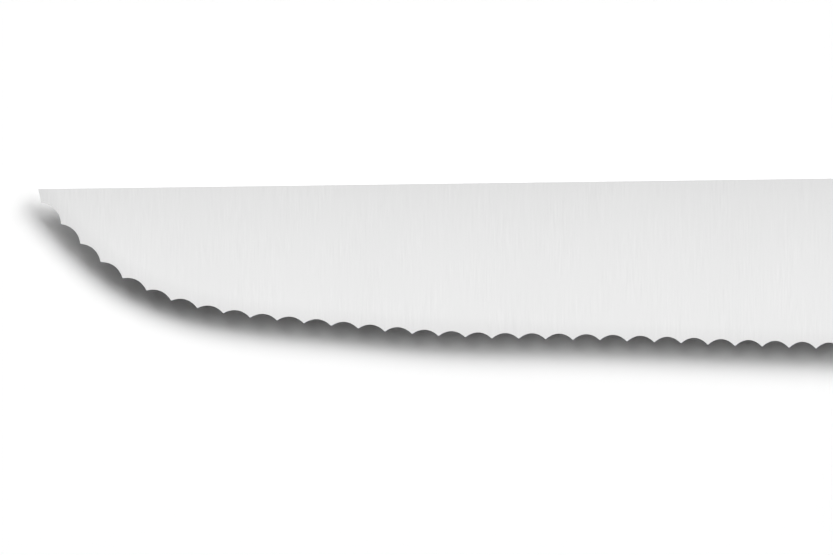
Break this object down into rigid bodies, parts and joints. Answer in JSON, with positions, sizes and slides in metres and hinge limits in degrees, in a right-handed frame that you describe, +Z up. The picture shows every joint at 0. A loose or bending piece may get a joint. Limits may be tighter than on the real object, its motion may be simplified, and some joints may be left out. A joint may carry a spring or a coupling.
{
  "type": "fish knife",
  "caption": "Large fishmonger's knife lying on its side: broad steel blade with a straight spine and a curved, scalloped edge, and a full tang in a riveted black handle.",
  "frame": {"origin": "middle of the knife's footprint, on the surface that its right handle scale lies on", "axes": "+X from the point to the butt, +Y from the edge to the spine, +Z up through the blade's flat left side"},
  "size_m": [0.4394, 0.0604, 0.018],
  "materials": {
    "blade_steel": "stainless steel, ground from spine to edge in fine lines",
    "handle_resin": "black acetal, satin",
    "rivet_steel": "stainless steel, ground flush with the scales"
  },
  "bodies": {
    "root": {"blade": "blade_steel", "left_scale": "handle_resin", "right_scale": "handle_resin", "front_rivet_socket": "rivet_steel", "front_rivet_pin": "rivet_steel", "middle_rivet_socket": "rivet_steel", "middle_rivet_pin": "rivet_steel", "rear_rivet_socket": "rivet_steel", "rear_rivet_pin": "rivet_steel"}
  },
  "joints": []
}
